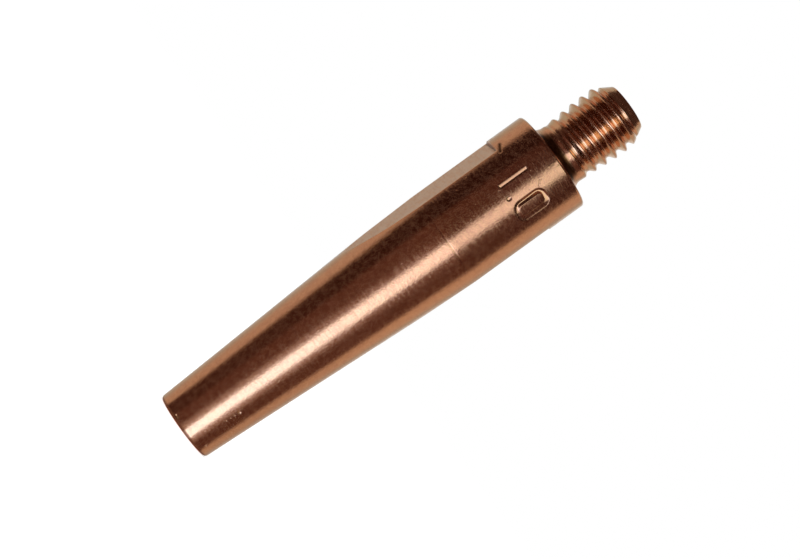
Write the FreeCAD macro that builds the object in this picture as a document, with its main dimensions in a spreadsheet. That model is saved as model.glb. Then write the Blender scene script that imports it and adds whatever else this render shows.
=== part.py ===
import FreeCAD, Part
import math
import os

import Sketcher

# Welding torch tip: one turned copper piece that stands on its nose with its thread up.
# +Z runs along the axis and Z = 0 is the nose face. The two spanner flats face +X and -X,
# and the stamped wire size is on the -Y side. Lengths are in millimetres, angles in degrees.

driving_sizes = {
    # turned outline
    "bodyLength": 37.4,         # nose face to shoulder
    "coneLength": 26.3,         # nose face to the straight collar
    "noseDiameter": 6.1,
    "collarDiameter": 8.9,
    "noseEdgeRadius": 0.35,
    "shoulderEdgeRadius": 0.25,
    # wire bore
    "boreDiameter": 1.2,
    "boreMouthDiameter": 2.4,   # lead-in for the wire at the threaded end
    "boreMouthDepth": 1.2,
    "boreExitChamfer": 0.1,
    # spanner flats
    "acrossFlats": 7.9,
    "flatEndLand": 3.5,         # full collar left between the flats and the shoulder
    # threaded stub
    "stubLength": 7.6,
    "neckDiameter": 5.34,
    "neckFilletRadius": 0.7,    # hollow corner between the neck and the shoulder
    "neckStraight": 0.1,
    "neckBlend": 0.25,
    "threadDiameter": 5.8,
    "threadDepth": 0.45,
    "threadPitch": 1.0,
    "crestWidth": 0.2,
    "flankAngle": 30.0,         # each flank from square to the axis
    "firstGroove": 1.44,        # shoulder to the middle of the groove where it starts
    "firstGrooveTurn": 178.6,   # where it starts, about the axis from +X
    "stubEndDiameter": 4.0,
    "stubEndChamfer": 1.35,
    "stubEndRadius": 0.15,
    # stamped wire size, 1.0
    "digitHeight": 3.0,
    "digitCentre": 33.55,       # nose face to the middle of the digits
    "strokeWidth": 0.4,
    "strokeDepth": 0.2,
    "zeroWidth": 1.9,
    "pointWidth": 0.5,
    "oneTurn": -24.1,           # where each sign is, about the axis from -Y
    "pointTurn": -10.1,
    "zeroTurn": 9.3,
}

# What follows from the driving sizes, as formulas of the sheet.
derived_sizes = {
    "noseRadius": "noseDiameter / 2",
    "collarRadius": "collarDiameter / 2",
    "boreRadius": "boreDiameter / 2",
    "boreMouthRadius": "boreMouthDiameter / 2",
    "boreExitRadius": "boreRadius + boreExitChamfer",
    "neckRadius": "neckDiameter / 2",
    "threadRadius": "threadDiameter / 2",
    "endRadius": "stubEndDiameter / 2",
    "neckEnd": "bodyLength + neckFilletRadius + neckStraight",
    "threadStart": "neckEnd + neckBlend",
    "totalLength": "bodyLength + stubLength",
    "threadEnd": "totalLength - stubEndChamfer",
    "mouthFoot": "totalLength - boreMouthDepth",
    "flatDistance": "acrossFlats / 2",
    "flatTop": "bodyLength - flatEndLand",
    "rootRadius": "threadRadius - threadDepth",
    "grooveWidth": "threadPitch - crestWidth",
    "rootWidth": "grooveWidth - 2 * threadDepth * tan(flankAngle)",
    "grooveStart": "bodyLength + firstGroove",
    "grooveLength": "stubLength - firstGroove + threadPitch",
    "zeroInnerWidth": "zeroWidth - 2 * strokeWidth",
    "zeroStraight": "digitHeight - zeroWidth",
    "pointRadius": "pointWidth / 2",
    "pointCentre": "digitCentre - digitHeight / 2 + pointRadius",
}


def make_sheet(doc):
    """One row for each size: its name, then its value, which carries the name as alias."""
    sheet = doc.addObject("Spreadsheet::Sheet", "Sizes")
    rows = [(name, str(number)) for name, number in driving_sizes.items()]
    rows += [(name, f"={formula}") for name, formula in derived_sizes.items()]
    for row, (name, content) in enumerate(rows, start=1):
        sheet.set(f"A{row}", name)
        sheet.set(f"B{row}", content)
        sheet.setAlias(f"B{row}", name)
    doc.recompute()
    return sheet


def make_sketch(body, name):
    """A sketch on the upright plane through the axis, seen from -Y."""
    sketch = body.newObject("Sketcher::SketchObject", name)
    plane = next(f for f in body.Origin.OriginFeatures if f.Role == "XZ_Plane")
    sketch.AttachmentSupport = [(plane, "")]
    sketch.MapMode = "FlatFace"
    return sketch


def add_lines(sketch, places):
    """A closed run of straight lines through (across, up) places; returns the first line's number."""
    corners = [FreeCAD.Vector(across, up, 0) for across, up in places]
    first, count = sketch.GeometryCount, len(corners)
    for start, end in zip(corners, corners[1:] + corners[:1]):
        sketch.addGeometry(Part.LineSegment(start, end))
    for line in range(count):
        joined = (first + line, 2, first + (line + 1) % count, 1)
        sketch.addConstraint(Sketcher.Constraint("Coincident", *joined))
    return first


def add_size(sketch, name, kind, *places, size, cell):
    """A dimension bound to a cell of the sheet, drawn at the size it will have."""
    sketch.addConstraint(Sketcher.Constraint(kind, *places, size))
    sketch.renameConstraint(sketch.ConstraintCount - 1, name)
    sketch.setExpression(f"Constraints.{name}", f"Sizes.{cell}")


def make_turned(body, sheet):
    """Everything that the lathe cuts, as one outline turned about the axis."""
    corners = [
        ("nose", "noseRadius", None),
        ("collar", "collarRadius", "coneLength"),
        ("shoulder", "collarRadius", "bodyLength"),
        ("neckFoot", "neckRadius", "bodyLength"),
        ("neckTop", "neckRadius", "neckEnd"),
        ("threadFoot", "threadRadius", "threadStart"),
        ("threadTop", "threadRadius", "threadEnd"),
        ("stubEnd", "endRadius", "totalLength"),
        ("mouth", "boreMouthRadius", "totalLength"),
        ("mouthBottom", "boreRadius", "mouthFoot"),
        ("exitTop", "boreRadius", "boreExitChamfer"),
        ("exit", "boreExitRadius", None),
    ]
    sketch = make_sketch(body, "TurnedOutline")
    places = [(sheet.get(across), sheet.get(up) if up else 0) for _, across, up in corners]
    add_lines(sketch, places)
    origin = (-1, 1)
    for line, (name, across, up) in enumerate(corners):
        x, y = places[line]
        add_size(sketch, f"{name}Across", "DistanceX", *origin, line, 1, size=x, cell=across)
        if up:
            add_size(sketch, f"{name}Up", "DistanceY", *origin, line, 1, size=y, cell=up)
        else:
            sketch.addConstraint(Sketcher.Constraint("PointOnObject", line, 1, -1))
    turned = body.newObject("PartDesign::Revolution", "Turned")
    turned.Profile = sketch
    turned.ReferenceAxis = (sketch, ["V_Axis"])
    turned.Angle = 360
    body.Document.recompute()
    return turned


def round_rim(body, sheet, base, name, radius, height, edge_radius):
    """Rounds the round edge that has this radius at this height."""
    found = None
    for number, edge in enumerate(base.Shape.Edges, start=1):
        rim = edge.Curve
        if isinstance(rim, Part.Circle) and abs(rim.Radius - radius) + abs(rim.Center.z - height) < 1e-6:
            found = f"Edge{number}"
    fillet = body.newObject("PartDesign::Fillet", name)
    fillet.Base = (base, [found])
    fillet.setExpression("Radius", f"Sizes.{edge_radius}")
    body.Document.recompute()
    return fillet


def make_flats(body, sheet):
    """Two opposite flats, cut from the collar down until they run out on the cone."""
    sketch = make_sketch(body, "FlatsOutline")
    inner, top, collar = sheet.get("flatDistance"), sheet.get("flatTop"), sheet.get("collarRadius")
    for name, side in (("right", 1), ("left", -1)):
        outer = side * (inner + collar)
        first = add_lines(sketch, [(side * inner, top), (outer, top), (outer, 0), (side * inner, 0)])
        for line in (first, first + 2):
            sketch.addConstraint(Sketcher.Constraint("Horizontal", line))
            sketch.addConstraint(Sketcher.Constraint("Vertical", line + 1))
        sketch.addConstraint(Sketcher.Constraint("PointOnObject", first + 2, 2, -1))
        axis_to_flat = [(-1, 1), (first, 1)][::side]
        flat_to_air = [(first, 1), (first, 2)][::side]
        add_size(sketch, f"{name}Distance", "DistanceX", *axis_to_flat[0], *axis_to_flat[1],
                 size=inner, cell="flatDistance")
        add_size(sketch, f"{name}Reach", "DistanceX", *flat_to_air[0], *flat_to_air[1],
                 size=collar, cell="collarRadius")
        add_size(sketch, f"{name}Top", "DistanceY", -1, 1, first, 1, size=top, cell="flatTop")
    flats = body.newObject("PartDesign::Pocket", "SpannerFlats")
    flats.Profile = sketch
    flats.SideType = "Symmetric"
    flats.Type = "ThroughAll"
    body.Document.recompute()
    return flats


def make_thread(body, sheet):
    """The right-hand groove that leaves the thread standing. It runs out past the stub's end."""
    sketch = make_sketch(body, "GrooveSection")
    turn = FreeCAD.Rotation(FreeCAD.Vector(0, 1, 0), sheet.get("firstGrooveTurn"))
    sketch.AttachmentOffset = FreeCAD.Placement(FreeCAD.Vector(0, 0, 0), turn)
    sketch.setExpression("AttachmentOffset.Base.y", "Sizes.grooveStart")
    sketch.setExpression("AttachmentOffset.Rotation.Angle", "Sizes.firstGrooveTurn")
    root, crest = sheet.get("rootRadius"), sheet.get("threadRadius")
    narrow, wide = sheet.get("rootWidth"), sheet.get("grooveWidth")
    add_lines(sketch, [(root, -narrow / 2), (crest, -wide / 2), (crest, wide / 2), (root, narrow / 2)])
    sketch.addConstraint(Sketcher.Constraint("Symmetric", 0, 1, 3, 1, -1))
    sketch.addConstraint(Sketcher.Constraint("Symmetric", 1, 1, 2, 1, -1))
    add_size(sketch, "root", "DistanceX", -1, 1, 0, 1, size=root, cell="rootRadius")
    add_size(sketch, "crest", "DistanceX", -1, 1, 1, 1, size=crest, cell="threadRadius")
    add_size(sketch, "narrow", "DistanceY", 0, 1, 3, 1, size=narrow, cell="rootWidth")
    add_size(sketch, "wide", "DistanceY", 1, 1, 2, 1, size=wide, cell="grooveWidth")
    groove = body.newObject("PartDesign::SubtractiveHelix", "ThreadGroove")
    groove.Profile = sketch
    groove.ReferenceAxis = (sketch, ["V_Axis"])
    groove.Mode = "pitch-height-angle"
    groove.setExpression("Pitch", "Sizes.threadPitch")
    groove.setExpression("Height", "Sizes.grooveLength")
    body.Document.recompute()
    return groove


def make_stamp_sketch(body, sheet, name, turn, height):
    """A sketch that touches the collar's outside, facing out, at this turn and height."""
    sketch = make_sketch(body, name)
    rotation = FreeCAD.Rotation(FreeCAD.Vector(0, 1, 0), sheet.get(turn))
    sketch.AttachmentOffset = FreeCAD.Placement(FreeCAD.Vector(0, 0, 0), rotation)
    sketch.setExpression("AttachmentOffset.Base.x", f"Sizes.collarRadius * sin(Sizes.{turn})")
    sketch.setExpression("AttachmentOffset.Base.y", f"Sizes.{height}")
    sketch.setExpression("AttachmentOffset.Base.z", f"Sizes.collarRadius * cos(Sizes.{turn})")
    sketch.setExpression("AttachmentOffset.Rotation.Angle", f"Sizes.{turn}")
    return sketch


def press_stamp(body, sketch, name):
    """Sinks a sign into the collar."""
    pocket = body.newObject("PartDesign::Pocket", name)
    pocket.Profile = sketch
    pocket.setExpression("Length", "Sizes.strokeDepth")
    body.Document.recompute()
    return pocket


def add_loop(sketch, name, width, straight, sheet):
    """An upright loop of two straight sides and two half circles about the sketch's origin."""
    radius, half = sheet.get(width) / 2, sheet.get(straight) / 2
    first = sketch.GeometryCount
    for side in (1, -1):
        bend = Part.Circle(FreeCAD.Vector(0, side * half, 0), FreeCAD.Vector(0, 0, 1), radius)
        start = math.pi * (1 - side) / 2
        sketch.addGeometry(Part.ArcOfCircle(bend, start, start + math.pi))
        top, bottom = (FreeCAD.Vector(-side * radius, end * side * half, 0) for end in (1, -1))
        sketch.addGeometry(Part.LineSegment(top, bottom))
    for step in range(4):
        joined = (first + step, 2, first + (step + 1) % 4, 1)
        sketch.addConstraint(Sketcher.Constraint("Tangent", *joined))
    sketch.addConstraint(Sketcher.Constraint("Symmetric", first, 3, first + 2, 3, -1, 1))
    sketch.addConstraint(Sketcher.Constraint("PointOnObject", first, 3, -2))
    add_size(sketch, f"{name}Width", "DistanceX", first + 1, 1, first + 3, 2, size=2 * radius, cell=width)
    add_size(sketch, f"{name}Straight", "DistanceY", first + 2, 3, first, 3, size=2 * half, cell=straight)


def make_stamps(body, sheet):
    one = make_stamp_sketch(body, sheet, "OneOutline", "oneTurn", "digitCentre")
    across, up = sheet.get("strokeWidth") / 2, sheet.get("digitHeight") / 2
    add_lines(one, [(across, up), (-across, up), (-across, -up), (across, -up)])
    for line in (0, 2):
        one.addConstraint(Sketcher.Constraint("Horizontal", line))
        one.addConstraint(Sketcher.Constraint("Vertical", line + 1))
    one.addConstraint(Sketcher.Constraint("Symmetric", 0, 1, 2, 1, -1, 1))
    add_size(one, "width", "DistanceX", 0, 2, 0, 1, size=2 * across, cell="strokeWidth")
    add_size(one, "height", "DistanceY", 1, 2, 1, 1, size=2 * up, cell="digitHeight")
    press_stamp(body, one, "One")

    point = make_stamp_sketch(body, sheet, "PointOutline", "pointTurn", "pointCentre")
    radius = sheet.get("pointRadius")
    point.addGeometry(Part.Circle(FreeCAD.Vector(0, 0, 0), FreeCAD.Vector(0, 0, 1), radius))
    point.addConstraint(Sketcher.Constraint("Coincident", 0, 3, -1, 1))
    add_size(point, "radius", "Radius", 0, size=radius, cell="pointRadius")
    press_stamp(body, point, "Point")

    zero = make_stamp_sketch(body, sheet, "ZeroOutline", "zeroTurn", "digitCentre")
    add_loop(zero, "outer", "zeroWidth", "zeroStraight", sheet)
    add_loop(zero, "inner", "zeroInnerWidth", "zeroStraight", sheet)
    press_stamp(body, zero, "Zero")


def check_all(doc, body):
    """Stops before anything is written if a step failed or the piece is not one sound solid."""
    for item in doc.Objects:
        if {"Invalid", "Error"} & set(item.State):
            raise RuntimeError(f"{item.Name} is {item.State}")
    shape = body.Shape
    if shape.isNull() or not shape.isValid() or len(shape.Solids) != 1:
        raise RuntimeError(f"{body.Label} is not one sound solid")


doc = FreeCAD.newDocument("TorchTip")
sheet = make_sheet(doc)
body = doc.addObject("PartDesign::Body", "TorchTip")
body.Label = "torch_tip"

turned = make_turned(body, sheet)
nose = round_rim(body, sheet, turned, "NoseEdge", sheet.get("noseRadius"), 0, "noseEdgeRadius")
shoulder = round_rim(body, sheet, nose, "ShoulderEdge",
                     sheet.get("collarRadius"), sheet.get("bodyLength"), "shoulderEdgeRadius")
end = round_rim(body, sheet, shoulder, "StubEdge",
                sheet.get("endRadius"), sheet.get("totalLength"), "stubEndRadius")
round_rim(body, sheet, end, "NeckFillet", sheet.get("neckRadius"), sheet.get("bodyLength"), "neckFilletRadius")
make_flats(body, sheet)
make_thread(body, sheet)
make_stamps(body, sheet)

doc.recompute()
check_all(doc, body)
os.makedirs("parts", exist_ok=True)
body.Shape.exportStep(f"parts/{body.Label}.step")
print(f"{body.Label}: volume {body.Shape.Volume:.2f} mm3, {len(body.Shape.Faces)} faces")
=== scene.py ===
import math

import bpy
import numpy as np
from mathutils import Matrix, Vector


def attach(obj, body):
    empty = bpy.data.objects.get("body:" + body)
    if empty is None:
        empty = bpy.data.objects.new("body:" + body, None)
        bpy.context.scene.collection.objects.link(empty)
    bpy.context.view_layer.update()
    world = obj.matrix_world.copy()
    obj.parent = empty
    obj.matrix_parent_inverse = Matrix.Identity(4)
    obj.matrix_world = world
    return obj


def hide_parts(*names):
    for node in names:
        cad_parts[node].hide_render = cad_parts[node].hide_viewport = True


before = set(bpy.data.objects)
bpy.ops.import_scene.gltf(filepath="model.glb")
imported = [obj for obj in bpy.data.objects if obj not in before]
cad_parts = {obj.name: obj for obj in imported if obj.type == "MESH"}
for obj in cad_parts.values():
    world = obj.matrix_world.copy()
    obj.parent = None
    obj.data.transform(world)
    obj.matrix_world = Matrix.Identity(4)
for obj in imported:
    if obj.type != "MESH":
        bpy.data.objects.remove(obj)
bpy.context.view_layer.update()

scene = bpy.context.scene
scene.view_settings.view_transform = "Standard"
mm = 0.001

# The tip stands on its nose. Heights are in millimetres from the nose face, and a turn is in
# degrees about the axis, from -Y towards +X.

photoView = {
    "distance": 181.754,    # from the tip's axis
    "height": 17.865,
    "turn": -15.4,          # about the tip's axis
    "tilt": 1.1415,
    "pan": 0.1986,
    "roll": -54.1805,
    "lens": 99.545,
    "sensorWidth": 36,
}


def addCamera():
    tilt, pan, roll, turn = (math.radians(photoView[name]) for name in ("tilt", "pan", "roll", "turn"))
    ahead = Vector((math.sin(pan) * math.cos(tilt), math.cos(pan) * math.cos(tilt), math.sin(tilt)))
    level = Vector((math.cos(pan), -math.sin(pan), 0))
    upright = level.cross(ahead)
    up = math.cos(roll) * upright + math.sin(roll) * level
    right = math.cos(roll) * level - math.sin(roll) * upright
    place = Matrix.Translation(Vector((0, -photoView["distance"], photoView["height"])) * mm)
    aim = Matrix((right, up, -ahead)).transposed().to_4x4()
    data = bpy.data.cameras.new("photoCamera")
    data.lens, data.sensor_width = photoView["lens"], photoView["sensorWidth"]
    data.clip_start, data.clip_end = 0.001, 20
    camera = bpy.data.objects.new("photoCamera", data)
    scene.collection.objects.link(camera)
    camera.matrix_world = Matrix.Rotation(turn, 4, "Z") @ place @ aim
    scene.camera = camera


addCamera()
print("camera placed")


# Small helpers for smooth shapes, on numbers and on arrays alike.
def smooth(x):
    x = np.clip(x, 0, 1)
    return x * x * (3 - 2 * x)


def ramp(x, width):  # 0 below zero, x above, rounded over this width
    return width * np.logaddexp(0, x / width)


def lesser(a, b, width):
    return a - ramp(a - b, width)


def greater(a, b, width):
    return a + ramp(b - a, width)


def bell(x):
    return np.exp(-x * x)


def segmentDistance(across, up, start, end):
    dx, dz = end[0] - start[0], end[1] - start[1]
    along = ((across - start[0]) * dx + (up - start[1]) * dz) / (dx * dx + dz * dz)
    along = np.clip(along, 0, 1)
    return np.hypot(across - start[0] - along * dx, up - start[1] - along * dz)


# The tip's outside is a radius for every turn and height.
body = {
    "noseRadius": 3.05,
    "collarRadius": 4.45,
    "coneLength": 26.3,     # nose face to the straight collar
    "length": 37.4,         # nose face to the shoulder
    "noseEdge": 0.35,
    "shoulderEdge": 0.25,
    "seamDepth": 0.012,     # fine line where the collar starts
    "seamWidth": 0.06,
}

flats = {
    "distance": 3.95,       # from the axis, on the +X and -X sides
    "startLift": 0.11,      # the cutter came in this much further out,
    "startAt": 19.0,
    "startLength": 5.0,     # and down to the distance over this length
    "end": 33.9,
    "endBlend": 0.12,
    "edgeBlend": 0.008,
    "endWobble": 0.02,
    "finishDepth": 0.02,    # the milled finish is full where the cut is this deep
    "endPaintedShade": 0.7,         # painted shade: a dark line in the corner where the cutter stopped
    "endPaintedShadeDrop": 0.05,    # its middle is this much below the end
    "endPaintedShadeWidth": 0.08,
    "endPaintedShadeCut": 0.2,      # full where the cut is this deep
}

# The signs were struck with a flat die that leant over: its face points at faceTurn, so each
# sign is deeper on that side. Depth is at the sign's own middle.
stamp = {
    "middle": 33.59,        # height of the middle of the digits
    "faceTurn": -1.0,
    "wallSlope": 1.0,
    "leastDepth": 0.03,
    "softness": 0.017,
    # painted shade on the signs' walls
    "paintedWallShade": 0.5,
    "paintedRimShade": 0.5,         # painted shade on the surface beside a wall
    "rimWidth": 0.06,
    "paintedShadeFade": 0.04,       # painted shade is full where the stroke is this deep
    "one": {"turn": -24.9, "halfStroke": 0.16, "halfHeight": 1.39, "depth": 0.07},
    "point": {"turn": -9.6, "height": 32.31, "halfStroke": 0.21, "depth": 0.07},
    "zero": {"turn": 10.0, "halfStroke": 0.24, "halfWidth": 0.93, "halfHeight": 1.52, "corner": 0.5,
             "depth": 0.1, "lean": 0.07, "wallLean": 0.45},     # deeper and steeper towards the thread
}

# Knocks and scratches, and a patch of painted shade: turn and height of both ends, half width, depth, and
# how dark.
marks = [
    (-69.1, 34.42, -58.7, 34.08, 0.19, 0.03, 1.0),
    (-21.8, 32.03, -21.4, 32.06, 0.08, 0.015, 0.2),
    (-8.3, 35.20, -1.8, 34.85, 0.05, 0.016, 0.3),
    (-7.3, 35.30, -3.5, 35.08, 0.04, 0.010, 0.2),
    (-11.5, 36.95, -5.5, 37.4, 0.14, 0.012, 0),
    (-25, 36.5, 12, 36.5, 1.9, 0, 0.12),        # painted shade that dims the highlight towards the shoulder, on the front
]
markShape = {
    "sharpness": 1.4,       # of the groove, across
    "darkSharpness": 1.2,
    "ridge": 0.15,          # low ridge along its edges: height in depths,
    "ridgeAt": 1.3,         # distance in half widths
    "ridgeSharpness": 3,
}

stub = {
    "neckRadius": 2.69,
    "neckFillet": 0.88,
    "pitch": 1.0,
    "crestRise": 0.08,      # the first crests are lower: they gain this much for each millimetre
    "crestRadius": 2.94,
    "crestBlend": 0.02,
    "rootRadius": 2.43,
    "halfCrest": 0.07,
    "halfRoot": 0.13,
    "softness": 0.035,
    "crestHeight": 0.62,    # a crest's height at turn 0, less whole pitches
    "rootShift": 0.08,      # the grooves lie this much nearer the nose than halfway
    "start": 38.45,
    "startBlend": 0.9,
    "chamferFrom": 43.9,
    "chamferBlend": 0.015,
    "endRadius": 2.03,
    "endSlope": 0.6,
    "endEdge": 0.15,
    "length": 45.0,         # nose face to the stub's end
    "paintedNeckShade": 1.0,            # painted shade in the neck's corner, on the side the camera faces
    "paintedNeckShadeTurn": -15.4,
    "paintedNeckShadeReach": 52,
    "paintedNeckShadeFade": 20,         # in degrees, at its sides
    "paintedNeckShadeEnd": 38.22,
    "paintedNeckShadeEndFade": 0.3,
    "wornFade": 0.06,
    "wornStart": 0.4,       # the flanks wear bare over this length
}

bore = {
    "radius": 0.6,
    "exitChamfer": 0.1,
    "mouthRadius": 1.2,
    "mouthDepth": 1.2,
}


def signDepth(sign, away, turn, up):
    # how deep the die went, and how much painted shade darkens its walls and the surface beside them; up is
    # limited, or the leans run away elsewhere
    up = np.clip(up, -2, 2)
    wall = (stamp["wallSlope"] + sign.get("wallLean", 0) * up) * (sign["halfStroke"] - away)
    atMiddle = math.cos(math.radians(sign["turn"] - stamp["faceTurn"]))
    face = (body["collarRadius"] - sign["depth"]) * atMiddle / np.cos(np.radians(turn - stamp["faceTurn"]))
    bottom = body["collarRadius"] - face + sign.get("lean", 0) * up
    bottom = greater(bottom, stamp["leastDepth"], stamp["softness"])
    depth = ramp(lesser(wall, bottom, stamp["softness"]), stamp["softness"] / 2)
    fade = stamp["paintedShadeFade"]
    onWall = stamp["paintedWallShade"] * smooth((bottom - wall) / fade) * smooth(depth / fade)
    rim = bell((away - sign["halfStroke"]) / stamp["rimWidth"])
    return depth, greater(onWall, stamp["paintedRimShade"] * rim * smooth(bottom / fade), fade / 2)


def stampDepth(turn, height):
    def across(sign):
        return np.radians(turn - sign["turn"]) * body["collarRadius"]

    up = height - stamp["middle"]
    one = stamp["one"]
    beyond = np.maximum(np.abs(up) - one["halfHeight"] + one["halfStroke"], 0)
    oneAway = (across(one) ** 4 + beyond ** 4) ** 0.25

    point = stamp["point"]
    pointAway = np.hypot(across(point), height - point["height"])

    zero = stamp["zero"]
    half, corner = zero["halfStroke"], zero["corner"]
    x = np.abs(across(zero)) - (zero["halfWidth"] - half - corner)
    z = np.abs(up) - (zero["halfHeight"] - half - corner)
    outside = np.hypot(np.maximum(x, 0), np.maximum(z, 0)) + np.minimum(np.maximum(x, z), 0)
    zeroAway = np.abs(outside - corner)

    struck = [signDepth(sign, away, turn, up) for sign, away in
              ((one, oneAway), (point, pointAway), (zero, zeroAway))]
    return sum(depth for depth, soilAndPaintedShade in struck), sum(soilAndPaintedShade for depth, soilAndPaintedShade in struck)


def markDepth(turn, height):
    depths, soilAndPaintedShade = 0, 0
    arc = body["collarRadius"] * math.pi / 180  # for each degree
    for startTurn, startHeight, endTurn, endHeight, half, depth, dark in marks:
        start, end = (startTurn * arc, startHeight), (endTurn * arc, endHeight)
        away = segmentDistance(turn * arc, height, start, end) / half
        ridge = bell((away - markShape["ridgeAt"]) * markShape["ridgeSharpness"])
        depths = depths + depth * (bell(away * markShape["sharpness"]) - markShape["ridge"] * ridge)
        soilAndPaintedShade = soilAndPaintedShade + dark * bell(away * markShape["darkSharpness"])
    return depths, soilAndPaintedShade


def turnedRadius(height):
    cone = body["noseRadius"] + (body["collarRadius"] - body["noseRadius"]) * height / body["coneLength"]
    seam = body["seamDepth"] * bell((height - body["coneLength"]) / body["seamWidth"])
    return np.minimum(cone, body["collarRadius"]) - seam


def milledAway(turned, turn, height):
    side = np.maximum(np.abs(np.sin(np.radians(turn))), 0.1)    # kept from 0 at the front and back
    lift = flats["startLift"] * (1 - smooth((height - flats["startAt"]) / flats["startLength"]))
    end = flats["end"] + flats["endWobble"] * np.sin(np.radians(11 * turn + 40))
    below = 1 - smooth((height - end) / flats["endBlend"] + 0.5)
    return ramp(turned - (flats["distance"] + lift) / side, flats["edgeBlend"]) * below


def bodyRadius(turn, height):
    turned = turnedRadius(height)
    milled = turned - milledAway(turned, turn, height)
    return milled - stampDepth(turn, height)[0] - markDepth(turn, height)[0]


# soil on the knocks and scratches, and painted shade in the signs, at the flats' end and over the
# shoulder's highlight
def bodySoilAndPaintedShade(turn, height):  # 0 clean, 1 dark
    fullCut = milledAway(body["collarRadius"], turn, flats["startAt"] + flats["startLength"])
    # painted shade: a dark line in the corner at the flats' end
    corner = bell((height - flats["end"] + flats["endPaintedShadeDrop"]) / flats["endPaintedShadeWidth"])
    corner = corner * flats["endPaintedShade"] * smooth(fullCut / flats["endPaintedShadeCut"])
    return corner + stampDepth(turn, height)[1] + markDepth(turn, height)[1]


def threadPlace(turn, height):
    # how far along from a crest, and the count of crests
    phase = (height - stub["crestHeight"]) / stub["pitch"] - turn / 360
    phase = phase + stub["rootShift"] / stub["pitch"] * (1 - np.cos(2 * math.pi * phase)) / 2
    return np.abs(phase - np.round(phase)) * stub["pitch"], phase


def stubRadius(turn, height):
    away, phase = threadPlace(turn, height)
    groove = (np.floor(phase) + 0.5 + turn / 360) * stub["pitch"] + stub["crestHeight"]
    crest = stub["neckRadius"] + stub["crestRise"] * (height - stub["start"])
    crest = lesser(crest, stub["crestRadius"], stub["crestBlend"])
    flankStart, flankEnd = stub["halfCrest"], stub["pitch"] / 2 - stub["halfRoot"]
    soft = stub["softness"]
    cut = (ramp(away - flankStart, soft) - ramp(away - flankEnd, soft)) / (flankEnd - flankStart)
    begun = smooth((groove - stub["start"]) / stub["startBlend"])
    thread = crest - (crest - stub["rootRadius"]) * cut * begun
    chamfer = stub["endRadius"] + stub["endSlope"] * (stub["length"] - height)
    return lesser(thread, chamfer, stub["chamferBlend"])


def stubPaintedShade(turn, height):
    # painted shade in the neck's corner, on the camera's side only
    front = smooth((stub["paintedNeckShadeReach"] - np.abs(turn - stub["paintedNeckShadeTurn"])) / stub["paintedNeckShadeFade"] + 0.5)
    return stub["paintedNeckShade"] * front * smooth((stub["paintedNeckShadeEnd"] - height) / stub["paintedNeckShadeEndFade"] + 0.5)


def stubWorn(turn, height):  # the thread's flanks, barer and paler than its crests and roots
    away = threadPlace(turn, height)[0]
    flankStart, flankEnd = stub["halfCrest"], stub["pitch"] / 2 - stub["halfRoot"]
    fade = stub["wornFade"]
    flank = smooth((away - flankStart) / fade) * smooth((flankEnd - away) / fade + 0.5)
    return flank * smooth((height - stub["start"]) / stub["wornStart"])


# Its mesh is rings of points, from the nose face up the outside, over the end and down the bore.
tipMesh = {
    "turnStep": 3,
    "finer": [(-120, -60, 3), (60, 120, 3), (-72, -54, 6), (-30, 24, 8)],   # from, to, parts of a step
    "besideEdge": 0.16,             # columns on both sides of a flat's edge
    "noseEdge": 8,                  # counts of rings
    "nose": 15,
    "flats": 50,
    "flatsFrom": 16.4,              # just under the first cut of the flats
    "seam": (-0.1, -0.05, -0.02, 0, 0.02, 0.05, 0.1),   # rings round the end of the cone
    "collar": (26.8, 31.8, 8),      # lowest ring, highest ring and count
    "signs": (31.9, 35.3, 0.04),    # lowest ring, highest ring and step
    "flatsEnd": (0.08, 0.01),       # reach and step round the flats' end
    "aboveSigns": (35.6, 36.2, 36.8),
    "shoulderEdge": 7,
    "fillet": 10,
    "thread": 0.04,                 # steps
    "chamfer": 0.055,
    "endEdge": 6,
}


def columnTurns():
    step, turns = tipMesh["turnStep"], set()
    for start in range(-180, 180, step):
        parts = max([1] + [count for low, high, count in tipMesh["finer"] if low <= start < high])
        turns |= {start + step * part / parts for part in range(parts)}
    rim = math.degrees(math.asin(flats["distance"] / body["collarRadius"]))
    for edge in (rim, 180 - rim, -rim, rim - 180):
        turns |= {edge - tipMesh["besideEdge"], edge, edge + tipMesh["besideEdge"]}
    return np.array(sorted(turns))


def ring(r, height, turns, outward, sideways, upward):
    a = np.radians(turns)
    r = r + 0 * a
    points = np.stack([r * np.sin(a), -r * np.cos(a), height + 0 * a], -1)
    normals = np.stack([outward * np.sin(a) + sideways * np.cos(a),
                        -outward * np.cos(a) + sideways * np.sin(a), upward + 0 * a], -1)
    return points, normals / np.linalg.norm(normals, axis=1)[:, None]


def fieldRing(radius, height, turns):
    # points where the radius says, with the normals that it gives
    step, lift = 0.02, 0.002
    r = radius(turns, height)
    around = (radius(turns + step, height) - radius(turns - step, height)) / (2 * math.radians(step))
    upward = (radius(turns, height + lift) - radius(turns, height - lift)) / (2 * lift)
    return ring(r, height, turns, np.ones_like(r), -around / r, -upward)


def arcRings(centre, radius, start, end, count, turns):
    # start and end are the normal's angles above the level
    rings = []
    for angle in np.radians(np.linspace(start, end, count)):
        c, s = math.cos(angle), math.sin(angle)
        rings.append(ring(centre[0] + radius * c, centre[1] + radius * s, turns, c, 0, s))
    return rings


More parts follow.
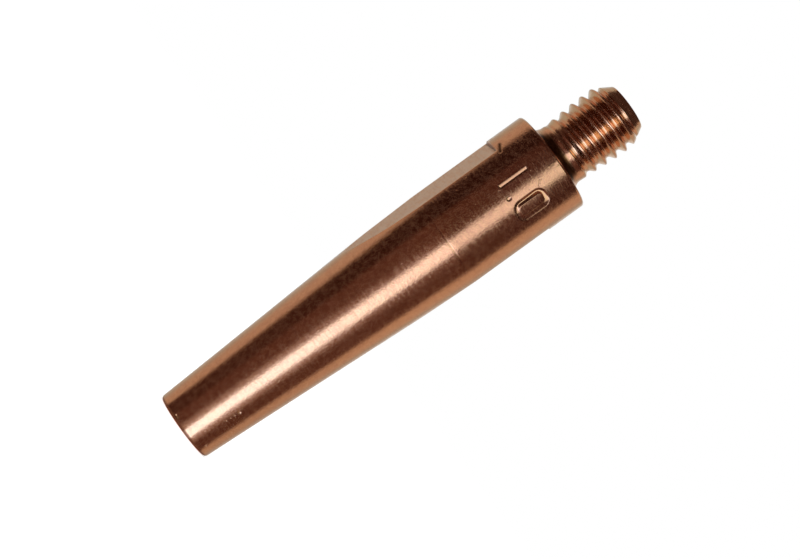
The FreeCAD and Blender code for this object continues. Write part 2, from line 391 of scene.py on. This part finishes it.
def bodyRings(turns):
    slope = math.atan((body["collarRadius"] - body["noseRadius"]) / body["coneLength"])
    edge = body["noseEdge"]
    across = body["noseRadius"] + edge * math.tan(slope) - edge / math.cos(slope)
    rings = arcRings((across, edge), edge, -90, -math.degrees(slope), tipMesh["noseEdge"], turns)
    start, top = edge - edge * math.sin(slope), body["length"] - body["shoulderEdge"]
    seam = body["coneLength"] + np.array(tipMesh["seam"])
    reach, step = tipMesh["flatsEnd"]
    heights = np.concatenate([
        np.linspace(start, tipMesh["flatsFrom"], tipMesh["nose"])[1:],
        np.linspace(tipMesh["flatsFrom"], seam[0], tipMesh["flats"])[1:],
        seam,
        np.linspace(*tipMesh["collar"]),
        np.arange(*tipMesh["signs"]),
        np.arange(flats["end"] - reach, flats["end"] + reach, step),
        tipMesh["aboveSigns"],
        [top]])
    for height in np.unique(heights.round(4)):
        rings.append(fieldRing(bodyRadius, height, turns))
    centre = (body["collarRadius"] - body["shoulderEdge"], top)
    return rings + arcRings(centre, body["shoulderEdge"], 0, 90, tipMesh["shoulderEdge"], turns)[1:]


def stubRings(turns):
    fillet, foot = stub["neckFillet"], body["length"]
    neck = stubRadius(turns, foot + fillet)
    rings = []
    for angle in np.radians(np.linspace(90, 0, tipMesh["fillet"])):
        c, s = math.cos(angle), math.sin(angle)
        rings.append(ring(neck + fillet * (1 - c), foot + fillet * (1 - s), turns, c, 0, s))
    edge, slope = stub["endEdge"], math.atan(stub["endSlope"])
    across = stub["endRadius"] + edge * stub["endSlope"] - edge / math.cos(slope)
    end = stub["length"] - edge + edge * math.sin(slope)
    threadHeights = np.arange(foot + fillet + tipMesh["thread"], stub["chamferFrom"], tipMesh["thread"])
    chamferHeights = np.arange(stub["chamferFrom"], end, tipMesh["chamfer"])
    for height in [*threadHeights, *chamferHeights, end]:
        rings.append(fieldRing(stubRadius, height, turns))
    centre = (across, stub["length"] - edge)
    return rings + arcRings(centre, edge, math.degrees(slope), 90, tipMesh["endEdge"], turns)[1:]


def boreRings(turns):
    mouth, depth, r = bore["mouthRadius"], bore["mouthDepth"], bore["radius"]
    top, exitEdge = stub["length"], bore["exitChamfer"]
    wall = math.atan2(mouth - r, depth)
    inward, upward = -math.cos(wall), math.sin(wall)
    profile = [  # radius and height, with the normal outwards and upwards
        (mouth + 0.05, top, 0, 1),
        (mouth, top - 0.02, -0.5, 0.87),
        (mouth - 0.04, top - 0.08, inward, upward),
        (r + 0.02, top - depth + 0.04, inward, upward),
        (r, top - depth - 0.02, -1, 0),
        (r, top * 2 / 3, -1, 0),
        (r, top / 3, -1, 0),
        (r, exitEdge, -1, 0),
        (r + exitEdge * 0.3, exitEdge * 0.3, -0.71, -0.71),
        (r + exitEdge, 0, 0, -1)]
    return [ring(across, height, turns, outward, 0, lift) for across, height, outward, lift in profile]


def bandFaces(first, count):  # quads between a ring and the next one
    for column in range(count):
        after = (column + 1) % count
        yield first + column, first + after, first + count + after, first + count + column


def tipFaces(outer, inner, lowerCount, upperCount):
    faces = []
    for row in range(lowerCount - 1):
        faces += bandFaces(row * len(outer), len(outer))
    start = lowerCount * len(outer)
    for row in range(upperCount - 1):
        faces += bandFaces(start + row * len(inner), len(inner))

    # the shoulder and the nose face join a ring of many points to one of few
    shared = [int(np.argmin(np.abs(outer - turn))) for turn in inner]
    shoulder, bottom = start - len(outer), start + (upperCount - 1) * len(inner)
    for column in range(len(inner)):
        after = (column + 1) % len(inner)
        last = shared[after] if after else len(outer)
        arc = [step % len(outer) for step in range(shared[column], last + 1)]
        faces.append([shoulder + step for step in arc] + [start + after, start + column])
        faces.append([bottom + column, bottom + after] + arc[::-1])
    return faces


def addTip():
    outer = columnTurns()
    inner = np.arange(-180.0, 180.0, tipMesh["turnStep"])
    lower, upper = bodyRings(outer), stubRings(inner) + boreRings(inner)
    points = np.concatenate([p for p, n in lower + upper])
    normals = np.concatenate([n for p, n in lower + upper])
    faces = tipFaces(outer, inner, len(lower), len(upper))

    mesh = bpy.data.meshes.new("torchTip")
    mesh.from_pydata((points * mm).tolist(), [], faces)
    mesh.shade_smooth()
    mesh.normals_split_custom_set_from_vertices(normals.tolist())
    mesh.validate()

    # shares of soil and painted shade, of milled surface and of worn surface, for the material
    start, bottom = len(lower) * len(outer), len(points) - len(inner)
    soilAndPaintedShade, milled, worn = np.zeros((3, len(points)))
    turns, heights = np.tile(outer, len(lower)), points[:start, 2]
    soilAndPaintedShade[:start] = bodySoilAndPaintedShade(turns, heights)
    milled[:start] = smooth(milledAway(turnedRadius(heights), turns, heights) / flats["finishDepth"])
    turns, heights = np.tile(inner, len(upper) - 1), points[start:bottom, 2]
    soilAndPaintedShade[start:bottom], worn[start:bottom] = stubPaintedShade(turns, heights), stubWorn(turns, heights)
    for name, share in (("soilAndPaintedShade", soilAndPaintedShade), ("milled", milled), ("worn", worn)):
        mesh.attributes.new(name, "FLOAT", "POINT").data.foreach_set("value", np.clip(share, 0, 1))
    tip = bpy.data.objects.new("torchTip", mesh)
    scene.collection.objects.link(tip)
    triangles = sum(len(face.vertices) - 2 for face in mesh.polygons)
    print("tip:", len(mesh.vertices), "points,", triangles, "triangles")
    return tip


tip = addTip()
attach(tip, "root")
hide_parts("torch_tip")


# Materials: a socket stands in a sum like a number, and every node comes from Graph.add.
class Socket:
    def __init__(self, graph, output):
        self.graph, self.output = graph, output

    def other(self, name):  # another output of the same node
        return Socket(self.graph, self.output.node.outputs[name])

    def __add__(self, other):
        return self.graph.sum("ADD", self, other)

    def __sub__(self, other):
        return self.graph.sum("SUBTRACT", self, other)

    def __rsub__(self, other):
        return self.graph.sum("SUBTRACT", other, self)

    def __mul__(self, other):
        return self.graph.sum("MULTIPLY", self, other)

    def __truediv__(self, other):
        return self.graph.sum("DIVIDE", self, other)

    def __rtruediv__(self, other):
        return self.graph.sum("DIVIDE", other, self)

    __radd__, __rmul__ = __add__, __mul__


class Graph:
    def __init__(self, owner):
        owner.use_nodes = True
        self.tree = owner.node_tree
        self.tree.nodes.clear()

    def add(self, kind, settings=None, sockets=None, output=0):
        node = self.tree.nodes.new("ShaderNode" + kind)
        for name, value in (settings or {}).items():
            setattr(node, name, value)
        for name, value in (sockets or {}).items():
            if isinstance(value, Socket):
                self.tree.links.new(value.output, node.inputs[name])
            else:
                node.inputs[name].default_value = value
        return Socket(self, node.outputs[output]) if node.outputs else None

    def sum(self, operation, a, b):
        return self.add("Math", {"operation": operation}, {0: a, 1: b})

    def step(self, value, low, high):  # 0 at low and 1 at high, which may be the lesser one
        limits = {"Value": value, "From Min": low, "From Max": high}
        return self.add("MapRange", {"interpolation_type": "SMOOTHSTEP"}, limits)

    def blend(self, factor, a, b):  # colours
        return self.add("Mix", {"data_type": "RGBA"}, {0: factor, 6: a, 7: b}, 2)

    def noise(self, where, size, detail, rough):
        return self.add("TexNoise", None, {
            "Vector": where, "Scale": 1 / (size * mm), "Detail": detail, "Roughness": rough})

    def stretch(self, where, x, y, z):
        return self.add("VectorMath", {"operation": "MULTIPLY"}, {0: where, 1: (x, y, z)})

    def away(self, where, place):  # distance from a place, in millimetres
        return self.add("VectorMath", {"operation": "DISTANCE"}, {0: where, 1: place}, "Value") / mm

    def end(self, kind, shader):
        self.add(kind, None, {"Surface": shader})


copper = {
    "colour": (0.81, 0.378, 0.21, 1),
    "dull": (0.73, 0.322, 0.19, 1),
    "pink": (0.78, 0.34, 0.21, 1),
    # dark colour for soil and for painted shade
    "soilAndPaintedShade": (0.11, 0.035, 0.012, 1),
    "worn": (0.80, 0.42, 0.25, 1),
    "roughness": 0.155,
    "lineRoughness": 0.11,  # more on some of the turned lines
    "lineLimits": (0.42, 0.66),     # of the noise, here and below: none at the first, full at the second
    "flatRoughness": 0.12,  # more on the milled flats
    "soilAndPaintedShadeRoughness": 0.15,
    "lines": (1.1, 3, 0.6),     # turned lines, a noise as those below: size in mm, detail, roughness
    "lineFineness": 7,      # how many times finer they are across
    "lineHeight": 0.003,
    "grain": (0.16, 2, 0.6),
    "grainHeight": 0.0075,
    "dents": (0.5, 2, 0.5),
    "dentHeight": 0.007,
    "patches": (0.5, 3, 0.6),
    "toneLimits": (0.40, 0.60),
    "specks": (0.45, 4, 0.7),
    "dust": 0.05,           # share of dull, scattering metal in the specks
    "dustLimits": (0.42, 0.60),
    "clouds": (2.2, 4, 0.6),
    "pinkLimits": (0.45, 0.65),
    "pinkShare": 0.3,
    "pitSpacing": 0.9,
    "pitHeight": 0.012,
    "pitLimits": (0.09, 0.03),      # in spacings from its middle
    "pitClouds": (0.50, 0.58),      # pits are only where the clouds are above this
    "fleckDepth": 0.6,      # in fleck sizes
}

# Bright flecks near the nose: turn, height, size.
flecks = [(15.6, 4.66, 0.17), (15.2, 4.2, 0.09), (15.0, 3.8, 0.08), (14.8, 3.4, 0.08), (9.0, 8.7, 0.12),
          (-35.0, 0.45, 0.2), (-31.0, 0.4, 0.14), (33.0, 0.85, 0.14)]


def copperMaterial():
    material = bpy.data.materials.new("turnedCopper")
    g = Graph(material)
    where = g.add("TexCoord", output="Object")
    onFlat = g.add("Attribute", {"attribute_name": "milled"}, None, "Fac")

    lines = g.noise(g.stretch(where, 1, 1, copper["lineFineness"]), *copper["lines"])
    grain, dents, patches, clouds, specks = (
        g.noise(where, *copper[name]) for name in ("grain", "dents", "patches", "clouds", "specks"))
    spots = g.add("TexVoronoi", None, {"Vector": where, "Scale": 1 / (copper["pitSpacing"] * mm)})
    pits = g.step(spots, *copper["pitLimits"]) * g.step(clouds, *copper["pitClouds"])

    relief = lines * copper["lineHeight"] + grain * copper["grainHeight"] + dents * copper["dentHeight"]
    relief = relief - pits * copper["pitHeight"]
    for turn, up, size in flecks:
        r = body["noseRadius"] + (body["collarRadius"] - body["noseRadius"]) * up / body["coneLength"]
        place = ring(r, up, np.array([turn]), 1, 0, 0)[0][0] * mm
        relief = relief - g.step(g.away(where, place.tolist()), size, 0) * size * copper["fleckDepth"]
    bump = g.add("Bump", None, {"Height": relief * mm, "Distance": 1, "Strength": 1})

    soilAndPaintedShade = g.add("Attribute", {"attribute_name": "soilAndPaintedShade"}, None, "Fac")
    dust = g.step(specks * 0.6 + grain * 0.4, *copper["dustLimits"])
    tone = g.step(grain * 0.4 + lines * 0.15 + patches * 0.45, *copper["toneLimits"])
    colour = g.blend(tone, copper["dull"], copper["colour"])
    pink = g.step(patches * 0.6 + clouds * 0.4, *copper["pinkLimits"]) * copper["pinkShare"]
    colour = g.blend(pink, colour, copper["pink"])
    worn = g.add("Attribute", {"attribute_name": "worn"}, None, "Fac")
    # soil and painted shade darken the colour
    colour = g.blend(soilAndPaintedShade, g.blend(worn, colour, copper["worn"]), copper["soilAndPaintedShade"])
    roughness = copper["roughness"] + g.step(lines, *copper["lineLimits"]) * copper["lineRoughness"]
    roughness = roughness + onFlat * copper["flatRoughness"] + soilAndPaintedShade * copper["soilAndPaintedShadeRoughness"]
    metallic = 1 - dust * (1 - worn) * copper["dust"]
    shader = g.add("BsdfPrincipled", None, {
        "Base Color": colour, "Metallic": metallic, "Roughness": roughness, "Normal": bump})
    g.end("OutputMaterial", shader)
    return material


tip.data.materials.append(copperMaterial())
print("tip made and finished")


# The studio is a floor, a white world, a soft lamp, and one sheet that only shows in the metal:
# it starts on the floor at the tip's foot, and turns up a wall all round but for a gap behind.
studio = {
    "turn": -15.4,          # the camera's turn: angles on the sheet are counted from it, to the right
    "footRadius": 2.75,
    "wallRadius": 300,
    "wallHeight": 300,
    "lift": 0.04,           # of the sheet over the floor
    "reach": 176,           # how far round the sheet goes on each side
    "ceiling": (0.05, 0.03, 0.025, 1),
    "foot": (0.16, 0.12, 0.10),     # colour on the floor at the tip's foot
    "footBlend": 1.6,
    "collarFrom": 45,       # height on the wall where the lights have turned to the collar's,
    "stubFrom": 64,         # and where they start to turn to the stub's
    "stubBlend": 12,
    "shift": {"leftCard": -6, "strip": -3},     # of their right ends, between these heights
    "shiftFrom": 40,
    "shiftTo": 70,
    "shiftBlend": 8,
}

# Lights on the sheet, each over the ones before it: from and to, in degrees, how far its ends
# fade, and its colour beside the tip, where floor and wall meet, and on the wall where it shows
# in the collar, and in the stub if that differs.
lights = {
    "room": (-400, 400, 1, (0.113, 0.066, 0.056), (0.108, 0.061, 0.05), (0.098, 0.055, 0.045),
             (0.04, 0.014, 0.01)),
    "farFlag": (-90, -45, 10, (0.064, 0.034, 0.027), (0.031, 0.014, 0.01), (0.026, 0.01, 0.007)),
    "rightFlag": (58, 102, 14, (0.105, 0.058, 0.046), (0.105, 0.056, 0.044), (0.08, 0.044, 0.035),
                  (0.035, 0.012, 0.01)),
    "spill": (-6, 53, 20, (0.44, 0.44, 0.44), (0.17, 0.11, 0.105), (0.10, 0.058, 0.05),
              (0.05, 0.02, 0.015)),
    "strip": (10, 38.5, 9, (1.95, 2.9, 3.9), (1.72, 2.2, 2.5), (0.92, 1.08, 1.26),
              (1.35, 1.85, 1.75)),
    "leftCard": (-132, -90, 14, (0.53, 0.51, 0.43), (0.53, 0.51, 0.43), (0.53, 0.51, 0.43)),
    "leftGrey": (-200, -126, 14, (0.47, 0.54, 0.48), (0.47, 0.54, 0.48), (0.47, 0.54, 0.47)),
    "leftRim": (-200, -154, 14, (0.66, 0.78, 0.78), (0.62, 0.74, 0.74), (0.62, 0.74, 0.74)),
    "rightCard": (98, 138, 14, (0.5, 0.47, 0.38), (0.59, 0.55, 0.44), (0.59, 0.55, 0.44)),
    "rightGrey": (134, 200, 14, (0.45, 0.51, 0.45), (0.46, 0.52, 0.45), (0.46, 0.52, 0.45)),
    "rightRim": (153, 200, 12, (0.74, 0.82, 0.8), (0.74, 0.82, 0.8), (0.74, 0.82, 0.8)),
}


def sheetLight(angle, away, height):
    light = 0
    toCollar = smooth(height / studio["collarFrom"])
    toStub = smooth((height - studio["stubFrom"]) / studio["stubBlend"])
    shifted = smooth(height / studio["shiftFrom"])
    shifted = shifted * smooth((studio["shiftTo"] - height) / studio["shiftBlend"])
    for name, (start, end, fade, *colours) in lights.items():
        end = end + studio["shift"].get(name, 0) * shifted
        share = smooth((angle - start) / fade + 0.5) * smooth((end - angle) / fade + 0.5)
        near, corner, collar, thread = np.array(colours + colours[-1:] * (4 - len(colours)))
        colour = near + (corner - near) * smooth(away / studio["wallRadius"])
        colour = colour + (collar - corner) * toCollar + (thread - collar) * toStub
        light = light + (colour - light) * share[:, None]
    foot = np.array(studio["foot"])
    return foot + (light - foot) * smooth(away / studio["footBlend"])


def glowMaterial(name, colour=None):
    material = bpy.data.materials.new(name)
    g = Graph(material)
    light = colour or g.add("Attribute", {"attribute_name": "light"}, None, "Color")
    g.end("OutputMaterial", g.add("BsdfPrincipled", None, {
        "Base Color": (0, 0, 0, 1),
        "Specular IOR Level": 0,
        "Emission Color": light,
        "Emission Strength": 1}))
    return material


def addStage(name, points, faces, material, shown):
    mesh = bpy.data.meshes.new(name)
    mesh.from_pydata((np.array(points) * mm).tolist(), [], faces)
    mesh.materials.append(material)
    thing = bpy.data.objects.new(name, mesh)
    scene.collection.objects.link(thing)
    for rays in ("camera", "diffuse", "shadow", "transmission"):
        setattr(thing, "visible_" + rays, shown)
    return thing


def addSheet():
    # a round mirror sends a look that meets it at half an angle away at the whole angle, so the
    # sheet's straight lines start at half their angle on the foot
    angles = np.arange(-studio["reach"], studio["reach"] + 1, 1.0)
    wall = studio["wallRadius"]
    aways = (0, 0.4, 0.8, 1.2, 1.6, 3, 6, 12, 25, 50, 100, 150, 200, 250, wall)
    heights = (10, 20, 30, 45, 60, 68, 72, 76, studio["wallHeight"])
    profile = [(away, studio["lift"]) for away in aways] + [(wall, height) for height in heights]
    whole, half = (np.radians(angles * share + studio["turn"]) for share in (1, 0.5))
    points, glow = [], []
    for away, height in profile:
        across = studio["footRadius"] * np.sin(half) + away * np.sin(whole)
        back = -studio["footRadius"] * np.cos(half) - away * np.cos(whole)
        points.append(np.stack([across, back, height + 0 * back], -1))
        glow.append(sheetLight(angles, away, height))
    count, faces = len(angles), []
    for row in range(len(profile) - 1):
        for column in range(count - 1):
            corner = row * count + column
            faces.append((corner, corner + 1, corner + count + 1, corner + count))
    sheet = addStage("lightSheet", np.concatenate(points), faces, glowMaterial("sheetGlow"), False)
    colours = np.concatenate(glow)
    colours = np.concatenate([colours, np.ones((len(colours), 1))], 1)
    sheet.data.attributes.new("light", "FLOAT_COLOR", "POINT").data.foreach_set("color", colours.ravel())


def addSquare(name, size, height, material, shown):
    half = size / 2
    corners = [(-half, -half, height), (half, -half, height), (half, half, height), (-half, half, height)]
    addStage(name, corners, [(0, 1, 2, 3)], material, shown)


def seenRays(g):  # camera, glossy and transmission rays all see the white background
    camera = g.add("LightPath", output="Is Camera Ray")
    others = g.sum("MAXIMUM", camera.other("Is Glossy Ray"), camera.other("Is Transmission Ray"))
    return g.sum("MAXIMUM", camera, others)


whiteFloor = {"size": 6000, "colour": (0.85, 0.85, 0.85, 1), "glow": 0.62}


def floorMaterial():
    material = bpy.data.materials.new("whiteFloor")
    g = Graph(material)
    plain = g.add("BsdfDiffuse", None, {"Color": whiteFloor["colour"]})
    white = g.add("Emission", None, {"Color": (1, 1, 1, 1), "Strength": whiteFloor["glow"]})
    both = g.add("AddShader", None, {0: plain, 1: white})
    g.end("OutputMaterial", g.add("MixShader", None, {0: seenRays(g), 1: plain, 2: both}))
    return material


whiteRoom = {"colour": (1, 1, 1, 1), "soft": 0.55, "seen": 1}     # soft is what lights, and seen what shows


def addWorld():
    world = bpy.data.worlds.new("whiteRoom")
    scene.world = world
    g = Graph(world)
    soft = g.add("Background", None, {"Color": whiteRoom["colour"], "Strength": whiteRoom["soft"]})
    white = g.add("Background", None, {"Color": whiteRoom["colour"], "Strength": whiteRoom["seen"]})
    g.end("OutputWorld", g.add("MixShader", None, {0: seenRays(g), 1: soft, 2: white}))


softLamp = {"size": 0.35, "energy": 1.2, "place": (-0.15, -0.25, 0.5)}


def addLamp():
    data = bpy.data.lights.new("softLamp", "AREA")
    data.shape, data.size, data.energy = "DISK", softLamp["size"], softLamp["energy"]
    lamp = bpy.data.objects.new("softLamp", data)
    scene.collection.objects.link(lamp)
    lamp.location = softLamp["place"]
    lamp.rotation_euler = (-lamp.location).to_track_quat("-Z", "Y").to_euler()
    lamp.visible_glossy = False


addWorld()
addSquare("floor", whiteFloor["size"], 0, floorMaterial(), True)
addSheet()
ceilingTone = glowMaterial("ceilingTone", studio["ceiling"])
addSquare("ceiling", 2 * studio["wallRadius"], studio["wallHeight"], ceilingTone, False)
addLamp()
print("studio made")
